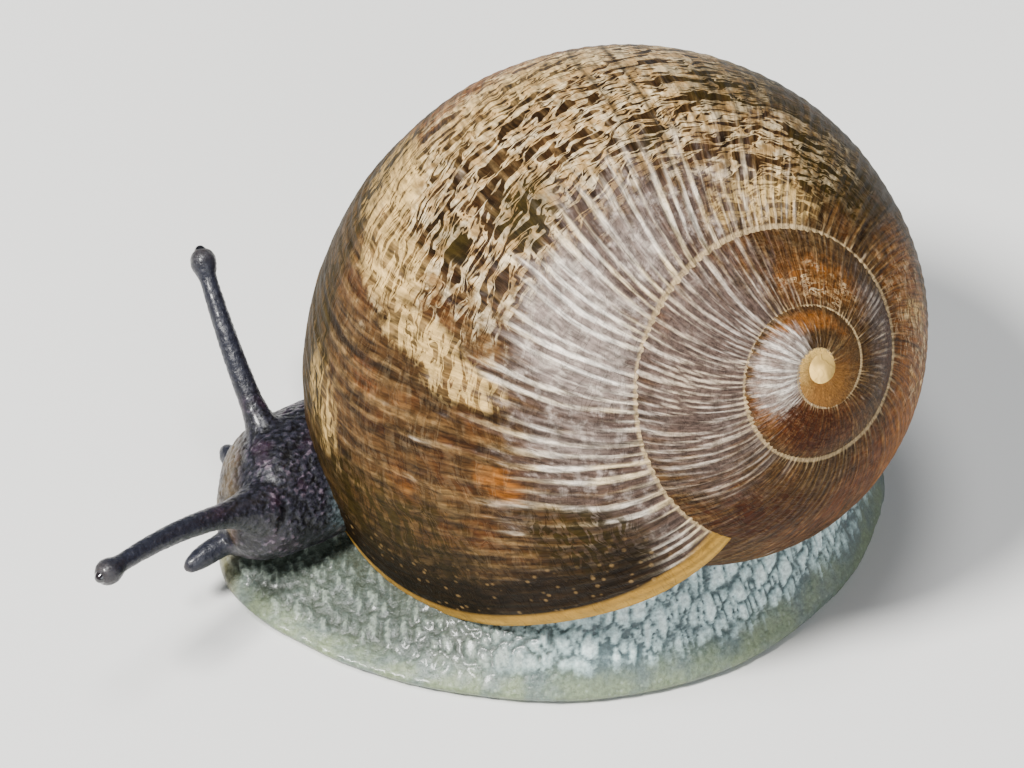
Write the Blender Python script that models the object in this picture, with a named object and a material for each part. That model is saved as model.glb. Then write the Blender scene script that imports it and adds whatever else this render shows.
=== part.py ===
"""A garden snail at life size, at rest on its sole with its head and feelers out.

The head points along -X, the snail's left side and the top of its spire face
-Y, and the sole lies on Z = 0. The script works in millimetres, in the shell's
own axes, and turns everything to metres as each mesh is made. The finished
model is set with the middle of its outline over the origin.
"""
import bpy
import bmesh
import numpy as np
from math import cos, exp, pi, radians, sin
from mathutils import Matrix, Vector

MM = 0.001                    # metres in a millimetre
WELD = 0.0002                 # corners this close are one corner, mm
GAP = 0.30                    # clearance kept between two solids, mm
HEAD_GAP = 0.50               # clearance between the head and the roots of the feelers, mm
FINE_GAP = 0.14               # clearance round the eyes, which are under 1 mm, mm

# The shell is a tube coiled round an axis. Each turn of growth multiplies the
# tube and its distance from the axis by WIDENING, and its drop by DESCENT.
WHORLS = 4.25                 # turns from the first chamber to the lip
WIDENING = 1.606
DESCENT = 1.978
COIL_RADIUS = 7.55            # axis to the middle of the tube, at the lip, mm
COIL_DROP = 15.8              # spire's base to the middle of the tube, at the lip
TUBE_HALF_WIDTH = 10.0        # across the tube, at the lip
TUBE_HALF_HEIGHT = 14.05      # along the axis, at the lip
TUBE_TILT = radians(15.2)     # the tube's long side leans out at its base
AXIS_CLEAR = 0.15             # the tube never crosses its own axis, mm
PILLAR = ((0.25, 0.6), (0.9, 0.9))   # (share of the drop, radius in mm), down the axis
SPIRE_RISE = 1.3              # doming of the spire over its axis, mm
SPIRE_RISE_RADIUS = 5.0       # how far out the doming reaches, mm
NUCLEUS_RADIUS = 1.15         # the round start of the spire, mm
NUCLEUS_HEIGHT = 1.05         # its middle over the spire's base, mm
CHAMBER_TURNS = 0.32          # length of the rounded first chamber, in turns
CHAMBER_START = 0.12          # size of its first ring, as a share of the tube
SHELL_WALL = 0.9              # thickness of the wall inside the mouth, mm
LIP_EDGE = 0.7                # thickness of the lip's rounded edge, mm
LIP_BULGE = 0.5               # how far the middle of the edge stands out, degrees
MOUTH_CLEARANCE = 1.5         # room between the lip and the flesh below it, degrees
MOUTH_OVERRUN = 4.0           # how far the cut for the mouth passes the lip, degrees
MOUTH_DEPTH = 19.0            # how far the mouth is open, degrees of growth
FILL_SHORTENING = 5.0         # the flesh stops short of it, degrees per mm of clearance
WHORL_IN_MOUTH = (-1.45, -0.62)   # growth whose outside bounds the mouth, turns
TUBE_SIDES = 34
STEPS_PER_TURN = 24
END_SHARES = (0.8, 0.55, 0.3, 0.1)   # sizes of the rings that close the tube's end

# The lip doesn't lie across the tube: it leads at the seam and trails under the
# base. Its lead in degrees is a mean and three waves (cosine, sine) round it.
LIP_MEAN = -4.6
LIP_WAVES = ((-2.3, 28.9), (5.9, -1.5), (-2.5, -4.4))

# How the shell is carried on the back.
SHELL_LEAN = 58.4             # spire's axis from upright, degrees
SHELL_HEADING = -50.9         # direction the spire leans to, degrees from +X
SHELL_SPIN = -49.56           # lip's turn about the axis, degrees
SHELL_LIFT = 19.1             # height of the spire's base over the floor, mm

# The foot, from the front edge to the tip of the tail, in rows of
# (x, y, half width, height of the back), mm.
FOOT_STATIONS = (
    (-28.9, 3.8, 0.4, 0.9),
    (-28.1, 3.8, 3.6, 1.5),
    (-26.0, 3.9, 6.0, 1.8),
    (-23.0, 4.0, 7.8, 2.0),
    (-19.5, 3.9, 9.0, 2.3),
    (-15.0, 3.6, 9.7, 4.8),
    (-10.5, 3.7, 9.8, 9.0),
    (-5.6, 4.7, 8.8, 10.4),
    (-1.2, 6.9, 6.5, 8.6),
    (1.8, 9.8, 4.0, 4.8),
    (3.4, 12.6, 1.9, 2.2),
    (4.0, 14.0, 0.4, 0.9),
)
FOOT_RINGS = 26
FOOT_RING_BUNCHING = 0.6      # how far the rings are drawn towards both ends
BACK_STEPS = 14               # steps across the back, from margin to margin
BACK_POWER, BACK_EASE = 2.2, 1.25   # shape of the back: flat margins, a round top
SOLE_RIM = 0.55               # thickness of the foot's thin margin, mm
SOLE_INSET = 0.30             # the flat sole stops this far inside the margin
MIDDLE_FRONT_X = -19.6        # cuts between the foot's three lengths
MIDDLE_REAR_X = -5.2

# The neck and head, from under the shell to the snout, in rows of
# (x, y, height of the middle, half width, half height), mm.
NECK_STATIONS = (
    (-14.5, 8.6, 4.6, 4.4, 2.9),
    (-18.5, 8.0, 4.4, 4.5, 3.0),
    (-22.0, 6.9, 4.2, 4.1, 2.9),
    (-24.6, 4.9, 4.5, 4.0, 3.0),
    (-26.4, 3.5, 4.7, 3.9, 3.0),
    (-27.8, 3.3, 4.1, 3.3, 2.5),
    (-28.6, 3.3, 3.5, 2.3, 1.8),
    (-28.9, 3.3, 3.3, 0.4, 0.4),
)
NECK_RINGS = 20
NECK_SIDES = 20
NECK_TURN = 26.0              # how far the neck comes in from the right, degrees
HEAD_BACK_X = -23.9           # cut between the neck and the head
MOUTH_CUT_X = -27.9           # cut between the head and the lobes of the mouth

# Each feeler runs from its root in the head to its end, bowed through a middle
# point, in millimetres.
FEELERS = {
    "left": ((-26.6, 0.8, 6.0), (-30.3, -3.2, 8.3), (-34.1, -7.7, 9.2)),
    "right": ((-26.2, 4.9, 6.2), (-28.4, 8.3, 9.3), (-30.5, 12.8, 12.6)),
}
LOWER_FEELERS = {
    "left": ((-27.6, 1.6, 3.2), (-29.0, 0.5, 3.1), (-30.3, -0.7, 2.8)),
    "right": ((-27.4, 5.2, 3.3), (-28.2, 6.6, 3.3), (-28.9, 7.9, 3.1)),
}
ROOT_RADIUS = 1.45            # the feeler where it leaves the head, mm
SHAFT_RADIUS = 0.62
NECK_OF_BULB_RADIUS = 0.46
BULB_RADIUS = 0.70
LOWER_RADIUS = 0.62
TIP_RADIUS = 0.05             # what a feeler's round end closes to
EYE_RADIUS = 0.42
EYE_SET_BACK = 0.75           # the eye's middle behind the end of the bulb, in eye radii
FEELER_SIDES = 12
ROOT_END = 0.30               # shares of the feeler's length
BULB_START = 0.86
BULB_WIDEST = 0.55            # share of the bulb's length at which it is widest
LENGTH_STEPS = (6, 8, 8)      # rings along the root, the shaft and the bulb
LOWER_STEPS = 10

BALL_SEGMENTS, BALL_RINGS = 12, 8
FAR = 60.0                    # past everything, mm
BELOW = -1.0                  # under the sole, mm
SHARP_ANGLE = 40.0            # edges sharper than this are shaded as edges, degrees


def clear_scene():
    for item in list(bpy.data.objects):
        bpy.data.objects.remove(item, do_unlink=True)


def finish_material(name, colour, roughness, metallic=0.0):
    material = bpy.data.materials.new(name)
    material.use_nodes = True
    shader = material.node_tree.nodes["Principled BSDF"]
    shader.inputs["Base Color"].default_value = (*colour, 1.0)
    shader.inputs["Roughness"].default_value = roughness
    shader.inputs["Metallic"].default_value = metallic
    material.diffuse_color = (*colour, 1.0)
    return material


def as_object(name, mesh):
    data = bpy.data.meshes.new(name)
    mesh.to_mesh(data)
    mesh.free()
    item = bpy.data.objects.new(name, data)
    bpy.context.collection.objects.link(item)
    return item


def loft(name, rings):
    """Skin a run of closed rings, each a list of points in mm, and cap both ends."""
    mesh = bmesh.new()
    rows = [[mesh.verts.new(Vector(point) * MM) for point in ring] for ring in rings]
    for low, high in zip(rows, rows[1:]):
        count = len(low)
        for i in range(count):
            j = (i + 1) % count
            mesh.faces.new((low[i], low[j], high[j], high[i]))
    for row, order in ((rows[0], -1), (rows[-1], 1)):
        middle = sum((v.co for v in row), Vector()) / len(row)
        tip = mesh.verts.new(middle)
        for i in range(len(row)):
            pair = (row[i], row[(i + 1) % len(row)])[::order]
            mesh.faces.new((*pair, tip))
    bmesh.ops.recalc_face_normals(mesh, faces=mesh.faces)
    return as_object(name, mesh)


def block(name, low, high):
    """A box between two corners in mm."""
    mesh = bmesh.new()
    bmesh.ops.create_cube(mesh, size=1.0)
    size = Vector(high) - Vector(low)
    middle = (Vector(high) + Vector(low)) / 2
    for vertex in mesh.verts:
        vertex.co = (middle + Vector(a * b for a, b in zip(vertex.co, size))) * MM
    return as_object(name, mesh)


def ball(name, centre, radius):
    mesh = bmesh.new()
    bmesh.ops.create_uvsphere(mesh, u_segments=BALL_SEGMENTS, v_segments=BALL_RINGS,
                              radius=radius * MM)
    bmesh.ops.translate(mesh, verts=mesh.verts, vec=Vector(centre) * MM)
    return as_object(name, mesh)


def combine(target, other, operation, keep_other=True, itself=False):
    """Cut, join or keep the common part of two solids, and settle the result.

    The coiled tube overlaps itself, which only the exact solver can join. The
    cuts between closed solids use the manifold one, which leaves them closed.
    """
    modifier = target.modifiers.new(operation.lower(), "BOOLEAN")
    modifier.operation = operation
    modifier.solver = "EXACT" if itself else "MANIFOLD"
    if itself:
        modifier.use_self = True
    modifier.object = other
    settle(target)
    if not keep_other:
        bpy.data.objects.remove(other, do_unlink=True)


def settle(item):
    """Turn an object's modifiers into its own mesh."""
    graph = bpy.context.evaluated_depsgraph_get()
    graph.update()
    made = bpy.data.meshes.new_from_object(item.evaluated_get(graph))
    item.modifiers.clear()
    item.data = made


def copy_of(item, name):
    twin = item.copy()
    twin.data = item.data.copy()
    twin.name = name
    bpy.context.collection.objects.link(twin)
    return twin


def drop_crumbs(mesh):
    """Keep the largest piece of a cut mesh, and drop slivers and inner skins."""
    pieces, seen = [], set()
    for face in mesh.faces:
        if face in seen:
            continue
        piece, border = [], [face]
        seen.add(face)
        while border:
            here = border.pop()
            piece.append(here)
            for edge in here.edges:
                for other in edge.link_faces:
                    if len(edge.link_faces) == 2 and other not in seen:
                        seen.add(other)
                        border.append(other)
        pieces.append(piece)
    largest = max(pieces, key=lambda p: sum(f.calc_area() for f in p))
    crumbs = [face for piece in pieces if piece is not largest for face in piece]
    bmesh.ops.delete(mesh, geom=crumbs, context="FACES")


def tidy(item, weld=0.0):
    """Weld corners that a cut left within a hair's breadth, and drop the crumbs."""
    mesh = bmesh.new()
    mesh.from_mesh(item.data)
    if weld:
        bmesh.ops.remove_doubles(mesh, verts=mesh.verts, dist=weld * MM)
        bmesh.ops.triangulate(mesh, faces=mesh.faces)
    drop_crumbs(mesh)
    mesh.to_mesh(item.data)
    mesh.free()


def between(stations, share):
    """A smooth curve through rows of numbers, read at a share from 0 to 1."""
    rows = np.array(stations, dtype=float)
    place = share * (len(rows) - 1)
    first = min(int(place), len(rows) - 2)
    t = place - first
    before, after = max(first - 1, 0), min(first + 2, len(rows) - 1)
    p0, p1, p2, p3 = rows[before], rows[first], rows[first + 1], rows[after]
    bend = (2 * p0 - 5 * p1 + 4 * p2 - p3) * t * t + (3 * p1 - p0 - 3 * p2 + p3) * t ** 3
    return 0.5 * (2 * p1 + (p2 - p0) * t + bend)


# ---------------------------------------------------------------- the shell

def shell_frame():
    turn = Matrix.Rotation(radians(SHELL_HEADING), 3, "Z")
    turn = turn @ Matrix.Rotation(radians(SHELL_LEAN), 3, "Y")
    return turn @ Matrix.Rotation(radians(SHELL_SPIN), 3, "Z")


def lip_lead(v):
    """How far the lip leads the plain cross-section at angle v, in turns."""
    lead = LIP_MEAN
    for wave, (along, across) in enumerate(LIP_WAVES, start=1):
        lead += along * cos(wave * v) + across * sin(wave * v)
    return lead / 360.0


def tube_point(turns, v, swell=0.0, shrink=1.0):
    """A point of the tube, turns of growth before the lip, at angle v round it."""
    width = WIDENING ** turns
    drop = DESCENT ** turns
    across = (TUBE_HALF_WIDTH * width * shrink + swell) * cos(v)
    along = (TUBE_HALF_HEIGHT * width * shrink + swell) * sin(v)
    radius = COIL_RADIUS * width + across * cos(TUBE_TILT) - along * sin(TUBE_TILT)
    radius = max(radius, AXIS_CLEAR + max(0.0, -swell))
    height = -COIL_DROP * drop + across * sin(TUBE_TILT) + along * cos(TUBE_TILT)
    height += SPIRE_RISE * exp(-(radius / SPIRE_RISE_RADIUS) ** 2)
    angle = turns * 2 * pi
    return Vector((radius * cos(angle), radius * sin(angle), height))


def tube_ring(turns, swell=0.0, shrink=1.0, slant=1.0):
    """The lip's own outline, as it stood some turns of growth ago."""
    frame = shell_frame()
    lift = Vector((0, 0, SHELL_LIFT))
    slant *= 1.0 if turns > -1.0 else max(0.0, 2.0 + turns)
    mean = LIP_MEAN / 360.0
    ring = []
    for side in range(TUBE_SIDES):
        v = 2 * pi * side / TUBE_SIDES
        lead = mean + slant * (lip_lead(v) - mean)
        ring.append(frame @ tube_point(turns + lead, v, swell, shrink) + lift)
    return ring


def tube_rings(first, last, swell=0.0):
    """Outlines from first to last, in turns, the earliest ones rounding to a point."""
    count = max(2, round((last - first) * STEPS_PER_TURN))
    rings = []
    for step in range(count + 1):
        turns = first + (last - first) * step / count
        grown = (turns + WHORLS) / CHAMBER_TURNS
        shrink = (1.0 - (1.0 - min(grown, 1.0)) ** 2) ** 0.5 if grown < 1.0 else 1.0
        rings.append(tube_ring(turns, swell, max(shrink, CHAMBER_START)))
    return rings


def end_rings(turns, swell):
    """Rings that close the slanting end of the tube, from its rim to its middle."""
    return [tube_ring(turns, swell * share, share, share) for share in END_SHARES]


def make_coil(name, swell, rim):
    """The coiled tube as one solid, closed over its mouth from the rim inwards."""
    coil = loft(name, tube_rings(-WHORLS, 0.0, swell) + rim)
    core = loft("core", [pillar_ring(share, radius) for share, radius in PILLAR])
    combine(coil, core, "UNION", keep_other=False, itself=True)
    tidy(coil)
    centre = shell_frame() @ Vector((0, 0, NUCLEUS_HEIGHT)) + Vector((0, 0, SHELL_LIFT))
    nucleus = ball("nucleus", centre, NUCLEUS_RADIUS + swell)
    combine(coil, nucleus, "UNION", keep_other=False)
    return coil


def make_mouth_fill(name, clearance, overrun):
    """What fits in the shell's mouth, clear of its wall and of the whorl behind."""
    deep = (FILL_SHORTENING * clearance - MOUTH_DEPTH) / 360
    wall, edge = -SHELL_WALL - clearance, -LIP_EDGE - clearance
    rings = end_rings(deep, wall)[::-1]
    rings += [tube_ring(share * deep, wall) for share in (1.0, 0.6, 0.25)]
    rings.append(tube_ring(overrun, edge))
    fill = loft(name, rings + end_rings(overrun, edge))
    whorl = loft("earlier_whorl", tube_rings(*WHORL_IN_MOUTH, clearance))
    combine(fill, whorl, "DIFFERENCE", keep_other=False)
    return fill


def make_shell():
    """The shell, open at its mouth, with a rounded lip."""
    bulge = LIP_BULGE / 360
    rim = [tube_ring(bulge, -LIP_EDGE / 2)] + end_rings(bulge, -LIP_EDGE / 2)
    shell = make_coil("shell", 0.0, rim)
    opening = make_mouth_fill("opening", 0.0, MOUTH_OVERRUN / 360)
    combine(shell, opening, "DIFFERENCE", keep_other=False)
    return shell


def pillar_ring(share, radius):
    """A small ring about the axis, a share of the way from the spire to the base."""
    frame = shell_frame()
    height = -COIL_DROP * share
    return [frame @ Vector((radius * cos(a), radius * sin(a), height))
            + Vector((0, 0, SHELL_LIFT))
            for a in np.linspace(0, 2 * pi, FEELER_SIDES + 1)[:-1]]


def make_shell_clearance():
    """The shell's outside with its mouth closed, swollen by the gap."""
    beyond = MOUTH_CLEARANCE / 360
    rim = [tube_ring(beyond, GAP)] + end_rings(beyond, GAP)
    return make_coil("shell_clearance", GAP, rim)


def make_mantle():
    """The flesh that fills the shell's mouth."""
    return make_mouth_fill("mantle_collar", GAP, 0.0)


# ---------------------------------------------------------------- the flesh

def foot_ring(share, swell=0.0):
    x, y, half, height = between(FOOT_STATIONS, share)
    ahead = between(FOOT_STATIONS, min(share + 0.01, 1.0))
    behind = between(FOOT_STATIONS, max(share - 0.01, 0.0))
    run = Vector((ahead[0] - behind[0], ahead[1] - behind[1], 0)).normalized()
    side = Vector((run.y, -run.x, 0))
    middle = Vector((x, y, 0))
    half, height = half + swell, height + swell
    flat = half - min(SOLE_INSET, half * 0.5)
    ring = [middle + side * flat * k / 2 for k in (-2, -1, 0, 1, 2)]
    rim = min(SOLE_RIM, height * 0.6)
    for step in range(BACK_STEPS + 1):
        across = cos(pi * step / BACK_STEPS)
        rise = (1.0 - abs(across) ** BACK_POWER) ** BACK_EASE
        ring.append(middle + side * half * across
                    + Vector((0, 0, rim + (height - rim) * rise)))
    return ring


def make_foot(name, swell=0.0):
    """The whole foot, with a flat sole, before it is parted."""
    even = [step / FOOT_RINGS for step in range(FOOT_RINGS + 1)]
    bunched = [0.5 - 0.5 * cos(pi * share) for share in even]
    shares = [FOOT_RING_BUNCHING * b + (1 - FOOT_RING_BUNCHING) * a for a, b in zip(even, bunched)]
    return loft(name, [foot_ring(share, swell) for share in shares])


def neck_ring(share, swell=0.0):
    x, y, z, half, rise = between(NECK_STATIONS, share)
    turn = radians(NECK_TURN) * (1.0 - share)
    side = Vector((-sin(turn), cos(turn), 0))
    ring = []
    for step in range(NECK_SIDES):
        angle = 2 * pi * step / NECK_SIDES
        ring.append(Vector((x, y, z)) + side * (half + swell) * cos(angle)
                    + Vector((0, 0, (rise + swell) * sin(angle))))
    return ring


def make_neck(name, swell=0.0):
    shares = [step / NECK_RINGS for step in range(NECK_RINGS + 1)]
    return loft(name, [neck_ring(share, swell) for share in shares])


def part_of(source, name, low, high):
    """The part of a solid inside a box, as an object of its own."""
    region = block("region", low, high)
    piece = copy_of(source, name)
    combine(piece, region, "INTERSECT", keep_other=False)
    tidy(piece)
    return piece


# ---------------------------------------------------------------- the feelers

def bow(points, share):
    """A point and a direction on the smooth bow through three points."""
    start, middle, end = (Vector(p) for p in points)
    pull = 2 * middle - (start + end) / 2
    place = start * (1 - share) ** 2 + pull * 2 * share * (1 - share) + end * share ** 2
    run = (pull - start) * 2 * (1 - share) + (end - pull) * 2 * share
    return place, run.normalized()


def feeler_radius(share):
    """Wide at the root, slim along the shaft, with a round bulb at the end."""
    if share < ROOT_END:
        t = share / ROOT_END
        return ROOT_RADIUS + (SHAFT_RADIUS - ROOT_RADIUS) * (1 - (1 - t) ** 2)
    if share < BULB_START:
        t = (share - ROOT_END) / (BULB_START - ROOT_END)
        return SHAFT_RADIUS + (NECK_OF_BULB_RADIUS - SHAFT_RADIUS) * t
    t = (share - BULB_START) / (1 - BULB_START)
    swell = sin(min(t / BULB_WIDEST, 1.0) * pi / 2) ** 2
    radius = NECK_OF_BULB_RADIUS + (BULB_RADIUS - NECK_OF_BULB_RADIUS) * swell
    if t > BULB_WIDEST:
        radius *= max(0.0, 1 - ((t - BULB_WIDEST) / (1 - BULB_WIDEST)) ** 2) ** 0.5
    return max(radius, TIP_RADIUS)


def feeler_rings(points, first, last, count, radius_at, swell=0.0):
    rings = []
    for step in range(count + 1):
        share = first + (last - first) * step / count
        place, run = bow(points, share)
        side = run.cross(Vector((0, 0, 1))).normalized()
        top = side.cross(run)
        radius = radius_at(share) + swell
        rings.append([place + side * radius * cos(a) + top * radius * sin(a)
                      for a in np.linspace(0, 2 * pi, FEELER_SIDES + 1)[:-1]])
    return rings


def make_feeler(side, head_clearance):
    """An eye tentacle in three lengths, with its eye set in the end of the bulb."""
    points = FEELERS[side]
    length = (Vector(points[2]) - Vector(points[0])).length
    half_gap = GAP / 2 / length
    bounds = (0.0, ROOT_END, BULB_START, 1.0)
    names = ("root", "shaft", "bulb")
    made = []
    for i, word in enumerate(names):
        first = bounds[i] + (half_gap if i else 0.0)
        last = bounds[i + 1] - (half_gap if i < 2 else 0.0)
        rings = feeler_rings(points, first, last, LENGTH_STEPS[i], feeler_radius)
        made.append(loft(f"eye_tentacle_{side}_{word}", rings))
    combine(made[0], head_clearance, "DIFFERENCE")
    place, run = bow(points, 1.0)
    centre = place - run * EYE_RADIUS * EYE_SET_BACK
    eye = ball(f"eye_{side}", centre, EYE_RADIUS)
    socket = ball("socket", centre, EYE_RADIUS + FINE_GAP)
    combine(made[2], socket, "DIFFERENCE", keep_other=False)
    return made, eye


def make_lower_feeler(side, head_clearance):
    points = LOWER_FEELERS[side]

    def radius_at(share):
        return max(LOWER_RADIUS * max(0.0, 1 - share ** 5) ** 0.5, 0.08)

    rings = feeler_rings(points, 0.0, 1.0, LOWER_STEPS, radius_at)
    feeler = loft(f"lower_tentacle_{side}", rings)
    combine(feeler, head_clearance, "DIFFERENCE")
    return feeler


# ---------------------------------------------------------------- the whole

def centre_over_origin(items):
    """Slide the model so that its outline is centred and its sole is at zero."""
    corners = [vertex.co for item in items for vertex in item.data.vertices]
    low = Vector(min(c[i] for c in corners) for i in range(3))
    high = Vector(max(c[i] for c in corners) for i in range(3))
    shift = Vector((-(low.x + high.x) / 2, -(low.y + high.y) / 2, -low.z))
    for item in items:
        item.data.transform(Matrix.Translation(shift))
    print("outline in mm:", [round(v / MM, 2) for v in high - low])
    print("shift in mm:", [round(v / MM, 3) for v in shift])


def main():
    clear_scene()
    shell = make_shell()
    clearance = make_shell_clearance()
    mantle = make_mantle()

    foot = make_foot("foot")
    combine(foot, clearance, "DIFFERENCE")
    front = part_of(foot, "foot_front", (-FAR, -FAR, BELOW), (MIDDLE_FRONT_X - GAP, FAR, FAR))
    middle = part_of(foot, "foot_middle", (MIDDLE_FRONT_X, -FAR, BELOW), (MIDDLE_REAR_X, FAR, FAR))
    tail = part_of(foot, "foot_tail", (MIDDLE_REAR_X + GAP, -FAR, BELOW), (FAR, FAR, FAR))
    bpy.data.objects.remove(foot, do_unlink=True)

    whole = make_neck("neck_and_head")
    combine(whole, clearance, "DIFFERENCE")
    foot_clearance = make_foot("foot_clearance", GAP)
    combine(whole, foot_clearance, "DIFFERENCE", keep_other=False)
    neck = part_of(whole, "neck", (HEAD_BACK_X + GAP, -FAR, -FAR), (FAR, FAR, FAR))
    head = part_of(whole, "head", (MOUTH_CUT_X + GAP, -FAR, -FAR), (HEAD_BACK_X, FAR, FAR))
    mouth = part_of(whole, "mouth_lobes", (-FAR, -FAR, -FAR), (MOUTH_CUT_X, FAR, FAR))
    bpy.data.objects.remove(whole, do_unlink=True)

    head_clearance = make_neck("head_clearance", HEAD_GAP)
    feelers, eyes, lower = [], [], []
    for side in ("left", "right"):
        made, eye = make_feeler(side, head_clearance)
        feelers += made
        eyes.append(eye)
        lower.append(make_lower_feeler(side, head_clearance))

    for helper in (clearance, head_clearance):
        bpy.data.objects.remove(helper, do_unlink=True)

    horn = finish_material("shell_horn", (0.22, 0.12, 0.05), 0.3)
    pale = finish_material("foot_skin", (0.33, 0.36, 0.34), 0.35)
    dark = finish_material("head_skin", (0.07, 0.07, 0.10), 0.4)
    collar = finish_material("mantle_skin", (0.25, 0.22, 0.18), 0.4)
    black = finish_material("eye_black", (0.01, 0.01, 0.012), 0.08)
    finishes = {horn: [shell], collar: [mantle], pale: [front, middle, tail],
                dark: [neck, head, mouth, *feelers, *lower], black: eyes}
    nodes = []
    for material, items in finishes.items():
        for item in items:
            tidy(item, WELD)
            own = material.copy()
            own.name = f"{item.name}_finish"
            item.data.materials.clear()
            item.data.materials.append(own)
            item.data.shade_smooth()
            item.data.set_sharp_from_angle(angle=radians(SHARP_ANGLE))
            nodes.append(item)
    centre_over_origin(nodes)


main()
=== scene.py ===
# %% [markdown]
# # A garden snail at rest
# The packed solids give the snail's size, place and pose. This script dresses
# them: a shell grown whorl by whorl, one unbroken skin for all the flesh, and
# two black eyes. Lengths are in millimetres until a mesh is finished, because a
# snail's parts are easier to picture that way.

# %% Load the solids
from math import cos, exp, log, pi, radians, sin

import bmesh
import bpy
import numpy as np
from mathutils import Matrix, Vector, noise


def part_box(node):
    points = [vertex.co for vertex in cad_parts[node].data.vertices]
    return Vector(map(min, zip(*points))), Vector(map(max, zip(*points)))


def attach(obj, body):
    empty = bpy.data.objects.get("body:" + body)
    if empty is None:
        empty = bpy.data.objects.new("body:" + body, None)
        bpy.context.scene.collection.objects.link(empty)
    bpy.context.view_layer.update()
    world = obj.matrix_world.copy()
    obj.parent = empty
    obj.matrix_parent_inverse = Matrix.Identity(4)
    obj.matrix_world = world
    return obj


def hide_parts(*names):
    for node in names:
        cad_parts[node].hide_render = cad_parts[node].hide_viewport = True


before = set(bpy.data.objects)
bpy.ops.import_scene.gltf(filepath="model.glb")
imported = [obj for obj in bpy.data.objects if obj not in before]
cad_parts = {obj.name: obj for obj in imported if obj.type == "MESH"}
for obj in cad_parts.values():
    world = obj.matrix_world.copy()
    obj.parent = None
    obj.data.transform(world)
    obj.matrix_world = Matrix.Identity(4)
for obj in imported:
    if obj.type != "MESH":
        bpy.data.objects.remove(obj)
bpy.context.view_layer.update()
MM = 0.001

# %% [markdown]
# ## The camera
# Most pictures of a snail are taken from above and to one side, with a long lens
# at arm's length. The lens is long so that near and far feelers keep their
# sizes. The camera looks at the middle of the animal, with a slight lean.

# %% Set up the camera
CAMERA_AZIMUTH, CAMERA_ELEVATION, CAMERA_LEAN = 1.2, 45.0, 2.0   # degrees
CAMERA_DISTANCE = 440.0
FRAME_WIDTH = 52.0                          # what the picture spans at the snail
SENSOR_WIDTH = 36.0
AIM = Vector((-0.4, -0.4, 10.0))
NEAREST, FURTHEST = 0.01, 10.0              # what the camera sees, in metres


def into_scene(name, data):
    item = bpy.data.objects.new(name, data)
    bpy.context.collection.objects.link(item)
    return item


def aim_camera():
    a, e = radians(CAMERA_AZIMUTH), radians(CAMERA_ELEVATION)
    back = Vector((sin(a) * cos(e), -cos(a) * cos(e), sin(e)))
    turn = (-back).to_track_quat("-Z", "Y").to_matrix().to_4x4()
    lean = Matrix.Rotation(radians(CAMERA_LEAN), 4, "Z")
    data = bpy.data.cameras.new("camera")
    data.sensor_width = SENSOR_WIDTH
    data.lens = SENSOR_WIDTH * CAMERA_DISTANCE / FRAME_WIDTH
    data.clip_start, data.clip_end = NEAREST, FURTHEST
    camera = into_scene("camera", data)
    place = (AIM + back * CAMERA_DISTANCE) * MM
    camera.matrix_world = Matrix.Translation(place) @ turn @ lean
    bpy.context.scene.camera = camera
    print("lens, mm:", round(data.lens))


aim_camera()

# %% [markdown]
# ## Floor and light
# A picture of the sky could light the snail, but it would show in the wet skin. A
# pale floor and three soft round lamps are plainer. The key lamp is high on the left
# and rakes over the ribs and bumps. No lamp stands behind, because light that grazes
# a glossy shell lays a white veil over its browns. A dim world fills the shadows.

# %% Lay the floor and hang the lamps
FLOOR_SIZE = 3.0                            # metres, as all lengths in this cell are
FLOOR_GREY, FLOOR_ROUGHNESS = (0.78, 0.78, 0.76, 1.0), 0.6
SKY, SKY_STRENGTH = (0.86, 0.92, 1.0, 1.0), 0.20
LAMPS = {   # name: (place, size, power in watts, colour)
    "key": ((-0.27, -0.20, 0.50), 0.15, 8.0, (1.0, 0.98, 0.95)),
    "fill": ((0.25, -0.60, 0.30), 0.50, 1.9, (0.93, 0.96, 1.0)),
    "top": ((-0.05, -0.05, 0.70), 0.22, 2.6, (1.0, 1.0, 1.0)),
}


def hang_lamp(name, place, size, power, colour):
    data = bpy.data.lights.new(name, "AREA")
    data.shape, data.size, data.energy, data.color = "DISK", size, power, colour
    lamp = into_scene(name, data)
    lamp.location = place
    lamp.rotation_euler = (Vector(place) * -1).to_track_quat("-Z", "Y").to_euler()


def lay_floor():
    mesh = bmesh.new()
    bmesh.ops.create_grid(mesh, x_segments=1, y_segments=1, size=FLOOR_SIZE / 2)
    data = bpy.data.meshes.new("floor")
    mesh.to_mesh(data)
    mesh.free()
    floor = into_scene("floor", data)
    paint = bpy.data.materials.new("pale_floor")
    paint.use_nodes = True
    shader = paint.node_tree.nodes["Principled BSDF"]
    shader.inputs["Base Color"].default_value = FLOOR_GREY
    shader.inputs["Roughness"].default_value = FLOOR_ROUGHNESS
    data.materials.append(paint)


lay_floor()
for name, setting in LAMPS.items():
    hang_lamp(name, *setting)
world = bpy.data.worlds.new("studio")
world.use_nodes = True
backdrop = world.node_tree.nodes["Background"]
backdrop.inputs["Color"].default_value = SKY
backdrop.inputs["Strength"].default_value = SKY_STRENGTH
bpy.context.scene.world = world
print("lamps:", ", ".join(LAMPS))

# %% [markdown]
# ## How a snail shell grows
# The shell is a tube that widens as it coils. Each turn multiplies the tube's
# size and its distance from the axis by one number, and its drop below the tip
# by another. The growing edge doesn't lie square across the tube: it leads at
# the seam and trails under the base, and every growth line repeats its shape.
# It could be drawn as a spiral curve with a bevel, but a curve can't turn its edge
# aslant. The law is written out instead, with the solid's own numbers, so that the
# fine shell lies on the plain one.

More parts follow.
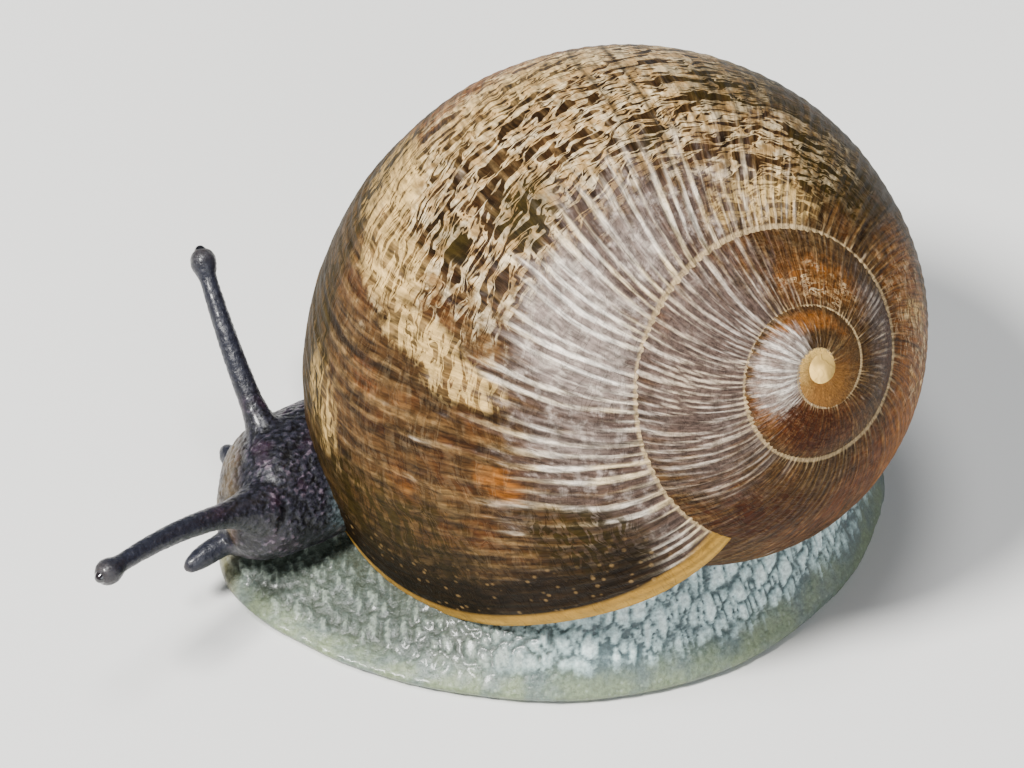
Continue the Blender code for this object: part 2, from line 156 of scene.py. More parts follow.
# %% The law of growth
WHORLS = 4.25
WIDENING, DESCENT = 1.606, 1.978            # by what the tube and its drop grow each turn
COIL_RADIUS, COIL_DROP = 7.55, 15.8         # middle of the tube at the lip, from axis and tip
HALF_WIDTH, HALF_HEIGHT = 10.0, 14.05       # of the tube at the lip
TUBE_TILT = radians(15.2)
AXIS_CLEAR = 0.15
SPIRE_RISE, SPIRE_RISE_RADIUS = 1.3, 5.0    # the spire stands a little above the law
LIP_MEAN = -4.6                             # the lip's lead in degrees, and its waves
LIP_WAVES = ((-2.3, 28.9), (5.9, -1.5), (-2.5, -4.4))
SHELL_LEAN, SHELL_HEADING, SHELL_SPIN = 58.4, -50.9, -49.56      # degrees
SHELL_LIFT = 19.1


def shell_turn():
    turn = Matrix.Rotation(radians(SHELL_HEADING), 3, "Z")
    turn = turn @ Matrix.Rotation(radians(SHELL_LEAN), 3, "Y")
    return turn @ Matrix.Rotation(radians(SHELL_SPIN), 3, "Z")


def lip_lead(v):
    """How far the growing edge leads at angle v round the tube, in turns."""
    lead = LIP_MEAN
    for wave, (along, across) in enumerate(LIP_WAVES, start=1):
        lead += along * cos(wave * v) + across * sin(wave * v)
    return lead / 360.0


def tube_section(turns, v, swell=0.0, shrink=1.0):
    """Distance from the axis and height of a point of the tube's outline."""
    width = WIDENING ** turns
    across = (HALF_WIDTH * width * shrink + swell) * cos(v)
    along = (HALF_HEIGHT * width * shrink + swell) * sin(v)
    radius = COIL_RADIUS * width + across * cos(TUBE_TILT) - along * sin(TUBE_TILT)
    radius = max(radius, AXIS_CLEAR + max(0.0, -swell))
    height = across * sin(TUBE_TILT) + along * cos(TUBE_TILT) - COIL_DROP * DESCENT ** turns
    return radius, height + SPIRE_RISE * exp(-(radius / SPIRE_RISE_RADIUS) ** 2)


SHELL_TURN = shell_turn()
print("tip of the spire points to:", [round(c, 2) for c in SHELL_TURN @ Vector((0, 0, 1))])

# %% [markdown]
# ## Where the whorls meet
# The seam between two whorls is where the outline of one cuts the outline of the
# one before it. A pale thread and short ribs follow it, so a guess won't do. Its
# angle round the tube is measured, by walking round each outline to the earlier one.

# %% Find the seam
SEARCH_FROM, SEARCH_TO = 40.0, 176.0        # degrees round the tube
EARLIEST_SEAM, SEAM_STOPS = -3.0, 13


def seam_angle(turns):
    """Angle round the tube at which this whorl leaves the earlier one."""
    earlier = np.array([tube_section(turns - 1, a) for a in np.linspace(0, pi, 181)])
    for v in np.radians(np.arange(SEARCH_FROM, SEARCH_TO, 1.0)):
        r, z = tube_section(turns, v)
        nearest = np.argmin(np.abs(earlier[:, 0] - r))
        if earlier[nearest, 1] > z:
            return v
    return pi


SEAM_TURNS = np.linspace(EARLIEST_SEAM, 0.0, SEAM_STOPS)
SEAM_ANGLES = np.array([seam_angle(turns) for turns in SEAM_TURNS])
print("seam angles, degrees:", np.round(np.degrees(SEAM_ANGLES), 0))

# %% [markdown]
# ## The shell
# One way to make it would be to sculpt a ball. Another is the Screw modifier, which
# can't widen the tube as it turns. A real shell is laid down edge by edge, so the
# mesh is too: a loop of vertices is extruded again and again, and each new loop is
# set where the lip stood at that time. The loops then are the growth lines, and
# whatever follows growth, such as a rib, is a swelling of a loop. At the mouth the
# edge rolls over a thin lip and runs back inside as the inner wall.

# %% Grow the shell
SIDES = 100
SIDE_CROWDING = 0.25                        # loops have more points on the outside
LINE_SPACING = ((-1.0, 0.19), (-2.0, 0.22), (-9.0, 0.26))   # (from this turn, mm)
OUTER_RADIUS = COIL_RADIUS + HALF_WIDTH
SHELL_INSET = 0.10                          # the ribs stand up to the solid's surface
RIBS_PER_TURN, RIB_RISE, RIB_POWER = 105, 0.055, 1.4
RIB_LEVEL, FAINTEST_RIB = 0.4, 0.12         # where a rib starts, and the least it shows
SWELLING, SWELLINGS_PER_MM = 0.07, 0.16     # slow swellings, as growth sped and slowed
SMOOTH_UNTIL, RIBBED_BY = -3.4, -1.8        # turns: the first whorls have no ribs yet
CHAMBER_TURNS, SMALLEST_SHARE = 0.32, 0.03  # the rounded start of the tube
# The lip rolls over and the wall runs back inside: (turns, mm out from the outside).
LIP_ROLL = ((0.0007, -0.05), (0.0012, -0.16), (0.0012, -0.36), (0.0006, -0.50))
INNER_FACE = ((-0.004, -0.55), (-0.015, -0.70), (-0.03, -0.80), (-0.05, -0.80))


def growth_length(turns):
    """Length of shell laid down by this turn, in mm along its outer side."""
    return 2 * pi * OUTER_RADIUS * WIDENING ** turns / log(WIDENING)


def growth_turns():
    """The turns at which loops lie, from the first chamber to the lip."""
    turns, stops = 0.0, []
    while turns > -WHORLS:
        stops.append(turns)
        spacing = next(mm for start, mm in LINE_SPACING if turns > start)
        turns -= spacing / (2 * pi * OUTER_RADIUS * WIDENING ** turns)
    return stops[::-1]


def ripple(turns, v, per_turn, round_tube, seed):
    """A smooth random wave over the shell, from -1 to 1."""
    return noise.noise(Vector((turns * per_turn, v * round_tube, seed)))


def rib(turns, v):
    """How far this point stands on a growth rib: 0 in a groove, 1 on a crest."""
    wander = 1.6 * ripple(turns, v, 9.0, 0.9, 3.0) + 0.5 * ripple(turns, v, 45.0, 2.2, 9.0)
    crest = 0.5 + 0.5 * cos(2 * pi * (turns * RIBS_PER_TURN + wander))
    strength = 0.62 + 0.75 * ripple(turns, v, 60.0, 1.8, 5.0)
    return crest ** RIB_POWER * min(1.0, max(FAINTEST_RIB, strength))


def rib_height(turns, v, crest):
    """Ribs and slow swellings, in mm, as the animal paused and grew."""
    slow = ripple(growth_length(turns), v, SWELLINGS_PER_MM, 0.25, 7.0)
    grown = min(1.0, max(0.0, (turns - SMOOTH_UNTIL) / (RIBBED_BY - SMOOTH_UNTIL)))
    return grown * (RIB_RISE * (crest - RIB_LEVEL) + SWELLING * slow)


def shell_loop(turns, swell, ribs=True):
    """Points of one growth line, with the numbers that the finish reads."""
    fade = 1.0 if turns > -1.0 else max(0.0, 2.0 + turns)
    shrink = 1.0
    grown = (turns + WHORLS) / CHAMBER_TURNS
    if grown < 1.0:
        shrink = max(SMALLEST_SHARE, (1.0 - (1.0 - max(grown, 0.0)) ** 2) ** 0.5)
    mean = LIP_MEAN / 360.0
    loop = []
    for side in range(SIDES):
        s = 2 * pi * (side + 0.5) / SIDES - pi
        v = s - SIDE_CROWDING * sin(s)
        at = turns + mean + fade * (lip_lead(v) - mean)
        crest = rib(turns, v)
        bump = rib_height(turns, v, crest) if ribs else 0.0
        r, z = tube_section(at, v, swell + bump, shrink)
        angle = at * 2 * pi
        point = SHELL_TURN @ Vector((r * cos(angle), r * sin(angle), z))
        from_seam = (float(np.interp(at, SEAM_TURNS, SEAM_ANGLES)) - v) * HALF_HEIGHT
        behind = -turns * 2 * pi * r
        loop.append((point + Vector((0, 0, SHELL_LIFT)), turns, from_seam, behind, crest,
                     float(not ribs)))
    return loop


def extrude_loops(mesh, loops, layers=None):
    """Extrude a circle through a run of loops and close both of its ends."""
    ring = bmesh.ops.create_circle(mesh, segments=len(loops[0]), radius=1.0)["verts"]
    first = ring
    for number, loop in enumerate(loops):
        if number:
            edges = [mesh.edges.get((a, b)) for a, b in zip(ring, ring[1:] + ring[:1])]
            made = bmesh.ops.extrude_edge_only(mesh, edges=edges)["geom"]
            new = {v for v in made if isinstance(v, bmesh.types.BMVert)}
            ring = [next(e.other_vert(v) for e in v.link_edges if e.other_vert(v) in new)
                    for v in ring]
        for vertex, entry in zip(ring, loop):
            vertex.co = entry[0]
            for layer, value in zip(layers or (), entry[1:]):
                vertex[layer] = value
    for end in (first, ring):
        bmesh.ops.contextual_create(mesh, geom=[mesh.edges.get((a, b)) for a, b
                                                in zip(end, end[1:] + end[:1])])
    bmesh.ops.recalc_face_normals(mesh, faces=mesh.faces)


def shell_loops():
    loops = [shell_loop(turns, -SHELL_INSET) for turns in growth_turns()]
    for turns, swell in LIP_ROLL + INNER_FACE:
        loops.append(shell_loop(turns, swell - SHELL_INSET, ribs=False))
    return loops


# %% Round off the start of the spire
FIRST_WHORL = (1.75, 1.75, 1.22)            # its half sizes
FIRST_WHORL_RISE = 1.22
FIRST_WHORL_RECORD = (-WHORLS, 5.0, 90.0, 0.3, 0.0)


def first_whorl(mesh):
    """The smooth round start of the spire, over the axis."""
    ball = bmesh.ops.create_icosphere(mesh, subdivisions=4, radius=1.0)["verts"]
    bmesh.ops.scale(mesh, vec=FIRST_WHORL, verts=ball)
    bmesh.ops.translate(mesh, verts=ball, vec=(0, 0, FIRST_WHORL_RISE))
    bmesh.ops.rotate(mesh, matrix=SHELL_TURN, verts=ball)
    bmesh.ops.translate(mesh, verts=ball, vec=(0, 0, SHELL_LIFT))
    for vertex in ball:
        for layer, value in zip(mesh.verts.layers.float.values(), FIRST_WHORL_RECORD):
            vertex[layer] = value


def as_piece(name, mesh):
    """Turn a bmesh in millimetres into a piece that rides on the model."""
    bmesh.ops.transform(mesh, matrix=Matrix.Translation(SHIFT) @ Matrix.Scale(MM, 4),
                        verts=mesh.verts)
    data = bpy.data.meshes.new(name)
    mesh.to_mesh(data)
    mesh.free()
    data.shade_smooth()
    piece = into_scene(name, data)
    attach(piece, "root")
    return piece


print("first whorl, mm:", [2 * half for half in FIRST_WHORL])

# %% [markdown]
# ## Where the snail stands
# The growth law is written round the base of the spire. The solids stand centred
# over the floor, so everything made here is slid by the difference, read from
# the left eye: its solid is a small ball, whose middle is known exactly.

# %% Find the slide, and set out the feelers
FEELERS = {   # each runs from its root through a middle point to its end
    "left": ((-26.6, 0.8, 6.0), (-30.3, -3.2, 8.3), (-34.1, -7.7, 9.2)),
    "right": ((-26.2, 4.9, 6.2), (-28.4, 8.3, 9.3), (-30.5, 12.8, 12.6)),
}
LOWER_FEELERS = {
    "left": ((-27.6, 1.6, 3.2), (-29.0, 0.5, 3.1), (-30.3, -0.7, 2.8)),
    "right": ((-27.4, 5.2, 3.3), (-28.2, 6.6, 3.3), (-28.9, 7.9, 3.1)),
}
EYE_RADIUS, EYE_SET_BACK = 0.42, 0.75


def bow(points, share):
    """A point and a direction on the smooth bow through three points."""
    start, middle, end = (Vector(p) for p in points)
    pull = 2 * middle - (start + end) / 2
    place = start * (1 - share) ** 2 + pull * 2 * share * (1 - share) + end * share ** 2
    run = (pull - start) * 2 * (1 - share) + (end - pull) * 2 * share
    return place, run.normalized()


def eye_centre(side):
    place, run = bow(FEELERS[side], 1.0)
    return place - run * EYE_RADIUS * EYE_SET_BACK


eye_low, eye_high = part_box("eye_left")
SHIFT = (eye_low + eye_high) / 2 - eye_centre("left") * MM
print("slide, mm:", [round(v / MM, 3) for v in SHIFT])

# %% Make the shell piece
GROWTH_RECORD = ("turns", "seam", "behind", "rib", "inside")   # numbers kept at each vertex


def make_shell():
    mesh = bmesh.new()
    layers = [mesh.verts.layers.float.new(name) for name in GROWTH_RECORD]
    extrude_loops(mesh, shell_loops(), layers)
    first_whorl(mesh)
    piece = as_piece("shell_skin", mesh)
    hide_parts("shell")
    print("shell faces:", len(piece.data.polygons))
    return piece


shell = make_shell()

# %% [markdown]
# ## Where the shell's colours lie
# A young shell is dark brown under cream and gold. Near the seam the brown is rubbed thin and the
# ribs show as cream lines on lilac grey. In the most rubbed patches they are painted nearly
# white, partly real wear and partly a painted highlight. Further out the cream breaks into a net
# of wavy flecks, drawn out along the spiral. A gold streak marks a pause in growth, and the
# newest part, just behind the lip, is nearly black. The zones could be painted on by hand. Soft
# patches, placed by where they lie in growth, are easier to move, and the finish gives them
# ragged edges later.

# %% Lay out the patches
# Each patch: turns before the lip, mm from the seam (at the lip's scale), its reach
# in turns and in mm, and its strength.
SHELL_PATCHES = {
    # The patches of wear on the body whorl are painted brighter than wear alone: partly a painted
    # highlight.
    "worn": ((-0.225, 4.6, 0.055, 4.6, 1.05), (-0.315, 3.6, 0.035, 2.8, 0.7),
             (-0.15, 4.5, 0.03, 3.0, 0.6), (-2.17, 3.5, 0.14, 5.0, 1.6)),
    "ribbed": ((-0.23, 2.4, 0.19, 6.8, 1.0), (-0.07, 1.0, 0.09, 6.2, 0.75),
               (-1.20, 4.5, 0.17, 9.0, 1.0), (-1.62, 6.5, 0.10, 4.5, 0.6)),
    "net": ((-0.32, 15.0, 0.13, 9.5, 1.0), (-0.45, 7.0, 0.10, 5.5, 0.6),
            (-0.68, 6.0, 0.10, 7.0, 0.4), (-1.47, 3.0, 0.12, 4.0, 0.38)),
    "dark": ((-0.52, 9.0, 0.060, 6.5, 1.1), (-0.17, 26.5, 0.12, 4.6, 1.0),
             (-0.265, 11.0, 0.028, 2.4, 0.8), (-0.225, 14.5, 0.014, 2.0, 0.7),
             (-0.36, 9.0, 0.022, 1.8, 0.5), (-0.43, 13.5, 0.06, 5.0, 0.65),
             (-0.62, 12.0, 0.08, 6.0, 0.8), (-1.93, 4.5, 0.13, 5.0, 0.8),
             (-1.66, 9.0, 0.10, 3.0, 0.7), (-0.045, 20.0, 0.05, 8.0, 0.9),
             (-0.06, 6.0, 0.05, 4.5, 0.7), (-0.50, 15.5, 0.10, 6.5, 0.9),
             (-0.96, 7.5, 0.09, 6.0, 0.6), (-0.075, 14.0, 0.03, 4.0, 0.5),
             (-0.86, 12.0, 0.06, 5.0, 0.55)),
    "gold": ((-0.222, 22.5, 0.028, 4.2, 1.1), (-0.197, 18.5, 0.020, 3.4, 1.1),
             (-0.173, 14.5, 0.013, 3.2, 1.0), (-0.160, 11.3, 0.014, 3.0, 1.0),
             (-0.10, 23.5, 0.028, 2.4, 0.9), (-0.30, 20.0, 0.09, 4.5, 0.50),
             (-0.44, 2.4, 0.08, 2.4, 0.75), (-0.665, 5.0, 0.022, 3.5, 0.55),
             (-0.73, 6.5, 0.012, 4.5, 0.45)),
    "red": ((-0.78, 9.0, 0.16, 9.0, 1.0), (-1.02, 6.0, 0.09, 8.0, 0.45),
            (-1.95, 4.0, 0.24, 7.0, 0.8), (-0.14, 18.5, 0.018, 1.8, 0.6)),
    "ginger": ((-0.31, 25.5, 0.12, 3.8, 1.0), (-0.105, 9.5, 0.016, 1.8, 0.75),
               (-0.09, 16.0, 0.016, 1.6, 0.55), (-1.47, 4.0, 0.14, 5.0, 0.6),
               (-2.25, 6.5, 0.35, 3.0, 0.8), (-0.70, 7.5, 0.13, 8.5, 1.0)),
}
GROWTH_PAUSES = (-0.147, -0.346, -0.366, -0.412, -0.57, -0.702, -1.135, -1.40)   # turns
PAUSE_WIDTH = 0.0016
PATCH_POWER = 2.4           # above 2, a patch is flatter in the middle than a bell


def read_numbers(data, name):
    numbers = np.empty(len(data.vertices), dtype=np.float32)
    data.attributes[name].data.foreach_get("value", numbers)
    return numbers


def keep_numbers(data, name, numbers):
    attribute = data.attributes.new(name, "FLOAT", "POINT")
    attribute.data.foreach_set("value", np.asarray(numbers, dtype=np.float32))


def lay_patches(data):
    turns, seam = read_numbers(data, "turns"), read_numbers(data, "seam")
    for name, patches in SHELL_PATCHES.items():
        cover = np.zeros(len(turns))
        for at, off, reach, spread, strength in patches:
            far = (np.abs((turns - at) / reach) ** PATCH_POWER
                   + np.abs((seam - off) / spread) ** PATCH_POWER)
            cover = np.maximum(cover, strength * np.exp(-far))
        keep_numbers(data, name, cover)
        print(f"{name}: {np.mean(cover > 0.5):.0%} of the shell")
    pauses = sum(np.exp(-((turns - at) / PAUSE_WIDTH) ** 2) for at in GROWTH_PAUSES)
    keep_numbers(data, "pause", pauses)


lay_patches(shell.data)

# %% [markdown]
# ## A small kit for finishes
# Every finish here is built from a few kinds of node: mottling, cells, sums and
# blends. They could be linked one by one, as in the node editor, but a finish has
# over a hundred. A short name for each kind keeps the recipes below readable.

class Finish:
    """A material under construction."""

    def __init__(self, name):
        self.material = bpy.data.materials.new(name)
        self.material.use_nodes = True
        self.tree = self.material.node_tree
        self.shader = self.tree.nodes["Principled BSDF"]

    def put(self, socket, value):
        if isinstance(value, bpy.types.NodeSocket):
            self.tree.links.new(value, socket)
        else:
            socket.default_value = value

    def add(self, kind, inputs=None, **settings):
        node = self.tree.nodes.new("ShaderNode" + kind)
        for name, value in settings.items():
            setattr(node, name, value)
        for name, value in (inputs or {}).items():
            self.put(node.inputs[name], value)
        return node

    def number(self, name):
        """A number kept at each vertex."""
        return self.add("Attribute", attribute_name=name).outputs["Fac"]

    def place_in_mm(self):
        place = self.add("TexCoord").outputs["Object"]
        return self.add("Mapping", {"Vector": place, "Scale": (1 / MM,) * 3}).outputs[0]

    def vector(self, x, y, z=0.0):
        return self.add("CombineXYZ", {"X": x, "Y": y, "Z": z}).outputs[0]

    def mottle(self, place, scale, detail=2.0, roughness=0.5, distortion=0.0):
        return self.add("TexNoise", {"Vector": place, "Scale": scale, "Detail": detail,
                                     "Roughness": roughness, "Distortion": distortion}).outputs[0]

    def cells(self, place, scale):
        return self.add("TexVoronoi", {"Vector": place, "Scale": scale}).outputs["Distance"]

    def sum(self, operation, a, b=0.0, c=0.0):
        return self.add("Math", {0: a, 1: b, 2: c}, operation=operation).outputs[0]

    def times(self, a, b, plus=0.0):
        return self.sum("MULTIPLY_ADD", a, b, plus)

    def step(self, value, low, high, start=0.0, end=1.0):
        """A soft step from start to end as the value goes from low to high."""
        return self.add("MapRange", {"Value": value, "From Min": low, "From Max": high,
                                     "To Min": start, "To Max": end},
                        interpolation_type="SMOOTHSTEP").outputs[0]

    def ragged(self, cover, frays, low, high, depth=0.7):
        """A patch with a torn edge: its cover, disturbed by a mottle, then stepped."""
        torn = self.times(frays, depth, self.sum("SUBTRACT", cover, depth / 2))
        return self.step(torn, low, high)

    def blend(self, share, a, b, how="MIX"):
        node = self.add("Mix", {0: share}, data_type="RGBA", blend_type=how)
        for number, value in ((6, a), (7, b)):
            self.put(node.inputs[number], (*value, 1.0) if isinstance(value, tuple) else value)
        return node.outputs[2]

    def shade(self, colour, share):
        """Darken a colour by a share of itself that varies over the surface."""
        grey = self.add("CombineColor", {0: share, 1: share, 2: share}).outputs[0]
        return self.blend(1.0, colour, grey, "MULTIPLY")

    def surface(self, settings):
        """Give the shader its colours and numbers, painted or the same all over."""
        for name, value in settings.items():
            self.put(self.shader.inputs[name], value)

    def relief(self, height, distance, strength):
        bump = self.add("Bump", {"Height": height, "Strength": strength, "Distance": distance})
        self.put(self.shader.inputs["Normal"], bump.outputs[0])


print("ways to build a finish:", sum(callable(v) for v in vars(Finish).values()))

# %% [markdown]
# ## The shell's finish
# The pattern follows growth, so it is drawn in growth's own two directions: along
# the spiral, and out from the seam. Both are measured at the lip's scale, so the
# marks shrink towards the tip just as the whorls do. A picture wrapped round the
# shell would pinch at the tip. Numbers kept at each vertex don't.

# %% Directions on the shell
MM_PER_TURN = 70.0          # along the spiral at mid whorl, at the lip's scale
DRIFT_SPOTS, DRIFT_REACH, DRIFT_ALONG = 0.45, 1.6, 0.22     # per mm, mm, share of the reach


def shell_directions(kit):
    """The pattern's own plane, gently disturbed so that no line runs dead true."""
    kit.place = kit.place_in_mm()
    drift = kit.times(kit.mottle(kit.place, DRIFT_SPOTS, 3.0), DRIFT_REACH, -DRIFT_REACH / 2)
    along = kit.times(kit.number("turns"), MM_PER_TURN)
    along = kit.times(drift, DRIFT_ALONG, along)
    return along, kit.sum("ADD", kit.number("seam"), drift), drift


def growth_mottle(kit, along, across, lines, runs, detail=3.0, roughness=0.6, layer=0.0,
                  distortion=0.0):
    """Mottling in growth's directions, with so many spots per mm along and across."""
    spots = kit.vector(kit.times(along, lines), kit.times(across, runs), layer)
    return kit.mottle(spots, 1.0, detail, roughness, distortion)


print("along a turn, mm:", MM_PER_TURN)

# %% [markdown]
# Several layers use the same patterns, so these are made once: broad and fine growth
# lines, flecks, tongues for torn edges, and plain mottling for frays and clouds.

# %% Patterns that the layers share
def net_flecks(kit, along, across, drift):
    """Wavy flecks drawn out along the spiral: threads, and specks in two sizes."""
    along = kit.sum("ADD", along, drift)
    large = growth_mottle(kit, along, across, 0.62, 1.50, 1.5, 0.5, distortion=0.9)
    small = growth_mottle(kit, along, across, 1.5, 3.1, 2.0, 0.5, 4.0, 0.5)
    threads = kit.step(kit.sum("ABSOLUTE", kit.sum("SUBTRACT", large, 0.5)), 0.052, 0.022)
    both = kit.times(small, 0.45, kit.times(large, 0.75))
    return kit.sum("MAXIMUM", threads, kit.step(both, 0.63, 0.69))


def shell_patterns(kit):
    along, across, drift = shell_directions(kit)
    kit.broad = growth_mottle(kit, along, across, 1.1, 0.10)
    kit.fine = growth_mottle(kit, along, across, 6.5, 0.35, 2.0)
    kit.flecks = net_flecks(kit, along, across, drift)
    kit.speckle = growth_mottle(kit, along, across, 3.2, 1.0, 3.0, 0.65, 2.0)
    kit.frays = kit.mottle(kit.place, 1.3, 4.0, 0.6)
    kit.clouds = kit.mottle(kit.place, 0.35, 3.0)
    kit.rib = kit.number("rib")
    kit.crest = kit.step(kit.times(kit.fine, 0.55, kit.rib), 0.45, 1.0)
    kit.earlier = kit.step(kit.number("turns"), -0.80, -0.95)
    tongues = growth_mottle(kit, along, across, 1.7, 0.25, layer=8.0)
    kit.ribbed = kit.ragged(kit.number("ribbed"), tongues, 0.12, 0.80, 1.5)
    kit.worn = kit.ragged(kit.number("worn"), tongues, 0.20, 0.85, 1.5)


print("zones of the shell:", ", ".join(SHELL_PATCHES))

# %% The colours laid down in growth, deepest first
EARTH, BARK, UMBER = (0.021, 0.010, 0.004), (0.080, 0.038, 0.012), (0.009, 0.005, 0.002)
RUST, GINGER = (0.11, 0.030, 0.006), (0.22, 0.072, 0.010)
OLIVE, OXBLOOD = (0.028, 0.018, 0.003), (0.048, 0.013, 0.004)
CREAM, FLAX, GOLD = (0.78, 0.61, 0.36), (0.44, 0.27, 0.105), (0.66, 0.43, 0.15)
PLUM_GREY, LILAC = (0.092, 0.062, 0.050), (0.41, 0.33, 0.285)
CHALK, IVORY_SHEEN, BONE = (0.84, 0.74, 0.61), (0.88, 0.80, 0.70), (0.50, 0.36, 0.19)


def brown_ground(kit):
    """Streaked dark brown, warmer in clouds, and red or ginger in patches."""
    streaks = kit.times(kit.fine, 0.5, kit.broad)
    ground = kit.blend(kit.step(streaks, 0.55, 0.95), EARTH, BARK)
    ground = kit.blend(kit.step(kit.clouds, 0.5, 0.7, 0.0, 0.35), ground, RUST)
    red = kit.ragged(kit.number("red"), kit.frays, 0.3, 0.75)
    red = kit.times(red, kit.step(kit.fine, 0.3, 0.65, 0.25, 0.95))
    ginger = kit.ragged(kit.number("ginger"), kit.frays, 0.3, 0.75)
    ginger = kit.times(ginger, kit.step(kit.fine, 0.25, 0.6, 0.35, 0.95))
    return kit.blend(ginger, kit.blend(red, ground, RUST), GINGER)


def net_and_gold(kit, ground):
    """A net of pale flecks with dark gaps, and streaks of gold."""
    net = kit.ragged(kit.number("net"), kit.frays, 0.2, 0.6)
    gaps = kit.times(kit.sum("SUBTRACT", 1.0, kit.flecks), 0.60)
    colour = kit.blend(kit.times(net, gaps), ground, UMBER)
    light = kit.blend(kit.step(kit.frays, 0.4, 0.65), FLAX, CREAM)
    pale = kit.times(kit.flecks, kit.times(net, 0.86, 0.05))
    colour = kit.blend(pale, colour, light)
    gold = kit.ragged(kit.number("gold"), kit.frays, 0.25, 0.75)
    streaks = kit.step(kit.times(kit.fine, 0.8, kit.flecks), 0.30, 0.85, 0.10, 0.9)
    return kit.blend(kit.times(gold, streaks), colour, GOLD)


def ribs_and_wear(kit, colour):
    """Pale ribs on lilac grey by the seam, painted nearly white in patches: partly real wear,
    partly a painted highlight.
    """
    faint = kit.times(kit.crest, kit.step(kit.frays, 0.35, 0.6, 0.04, 0.25))
    colour = kit.blend(faint, colour, FLAX)
    groove = kit.blend(kit.step(kit.frays, 0.48, 0.73), PLUM_GREY, LILAC)
    groove = kit.blend(kit.times(kit.earlier, 0.8), groove, PLUM_GREY)
    ridge = kit.blend(kit.step(kit.clouds, 0.4, 0.6), CHALK, CREAM)
    ridge = kit.blend(kit.times(kit.earlier, 0.65), ridge, LILAC)
    lined = kit.blend(kit.crest, groove, ridge)
    colour = kit.blend(kit.times(kit.ribbed, 0.92), colour, lined)
    # The rubbed crests are painted nearly white: partly real wear, partly a painted highlight.
    rubbed = kit.blend(kit.crest, kit.blend(0.5, LILAC, PLUM_GREY), IVORY_SHEEN)
    rubbed = kit.blend(kit.step(kit.frays, 0.45, 0.7, 0.0, 0.4), rubbed, CHALK)
    return kit.blend(kit.times(kit.worn, 0.85), colour, rubbed)


def dark_blotches(kit, colour):
    """Olive black blotches, oxblood on the early whorls, that the flecks break up."""
    dark = kit.ragged(kit.number("dark"), kit.frays, 0.3, 0.65)
    dark = kit.times(dark, kit.step(kit.flecks, 0.0, 1.0, 0.95, 0.5))
    return kit.blend(dark, colour, kit.blend(kit.earlier, OLIVE, OXBLOOD))


LAYERS = (net_and_gold, ribs_and_wear, dark_blotches)
print("layers over the browns:", len(LAYERS))

# %% What lies over them: the seam, the newest and the oldest growth, and every line
OCHRE, AMBER = (0.33, 0.175, 0.030), (0.45, 0.265, 0.055)
TOFFEE, HORN = (0.34, 0.15, 0.035), (0.97, 0.62, 0.18)


def seam_thread(kit, colour):
    """A pale thread lies in the seam, and the ribs beside it are rubbed paler."""
    off = kit.number("seam")
    beside = kit.times(kit.step(off, 1.5, 0.4), kit.step(kit.crest, 0.3, 0.9, 0.0, 0.45))
    colour = kit.blend(beside, colour, BONE)
    thread = kit.times(kit.step(off, 0.50, 0.28), kit.step(off, -0.15, 0.02))
    return kit.blend(kit.times(thread, 0.75), colour, BONE)


def new_growth(kit, colour):
    """A nearly black band behind the lip, with faint pale dots."""
    off = kit.number("seam")
    edge = kit.times(kit.mottle(kit.place, 0.5, 3.0), 4.0, kit.number("behind"))
    band = kit.times(kit.step(edge, 8.2, 4.8), kit.step(off, 1.5, 5.0))
    dots = kit.step(kit.cells(kit.place, 1.6), 0.27, 0.10)
    dotted = kit.blend(kit.times(dots, 0.4), UMBER, FLAX)
    return kit.blend(kit.times(band, 0.9), colour, dotted)


def horn_tip(kit, colour):
    """The first whorls are toffee brown, and the very tip is pale golden horn."""
    age = kit.times(kit.frays, 0.3, kit.number("turns"))
    colour = kit.blend(kit.step(age, -2.30, -2.80, 0.0, 0.75), colour, TOFFEE)
    return kit.blend(kit.step(age, -2.80, -3.20, 0.0, 0.95), colour, HORN)


def growth_shading(kit, colour):
    """Pauses in growth are dark lines, and every growth line shades the colour."""
    colour = kit.blend(kit.times(kit.number("pause"), 0.75), colour, UMBER)
    colour = kit.shade(colour, kit.step(kit.fine, 0.2, 0.8, 0.62, 1.22))
    return kit.shade(colour, kit.step(kit.speckle, 0.32, 0.66, 0.55, 1.25))


def golden_lip(kit, colour):
    """The last millimetre of growth is thin and gold, and widest near the seam."""
    behind = kit.number("behind")
    width = kit.step(kit.number("seam"), 10.0, 1.0, 0.0, 0.35)
    rim = kit.step(kit.sum("SUBTRACT", behind, width), 1.10, 0.75)
    lip = kit.blend(kit.step(behind, 0.9, 0.1, 0.2, 0.8), OCHRE, AMBER)
    lip = kit.shade(lip, kit.step(kit.frays, 0.3, 0.7, 0.78, 1.05))
    return kit.blend(rim, colour, lip)


LAYERS += (seam_thread, new_growth, horn_tip, growth_shading, golden_lip)
print("layers in all:", ", ".join(layer.__name__ for layer in LAYERS))

# %% Put the layers together
NACRE = (0.38, 0.28, 0.19)                  # the smooth inside of the mouth
SHELL_SHINE = 0.06                          # a dry shell reflects little
SHELL_RELIEF = 0.07 * MM


def shell_gloss(kit):
    """Duller in the patches of wear and painted highlight, with relief from the growth lines,
    flecks and ribs.
    """
    gloss = kit.times(kit.worn, 0.12, kit.step(kit.frays, 0.3, 0.7, 0.44, 0.58))
    kit.surface({"Roughness": gloss, "Specular IOR Level": SHELL_SHINE})
    height = kit.times(kit.fine, 0.7, kit.times(kit.flecks, 0.35))
    height = kit.times(kit.rib, 0.6, height)
    kit.relief(kit.sum("ADD", height, kit.times(kit.frays, 0.5)), SHELL_RELIEF, 0.9)


def shell_finish():
    kit = Finish("banded_shell")
    shell_patterns(kit)
    colour = brown_ground(kit)
    for layer in LAYERS:
        colour = layer(kit, colour)
    kit.surface({"Base Color": kit.blend(kit.number("inside"), colour, NACRE)})
    shell_gloss(kit)
    return kit.material


shell.data.materials.append(shell_finish())
print("nodes in the shell's finish:", len(shell.data.materials[0].node_tree.nodes))

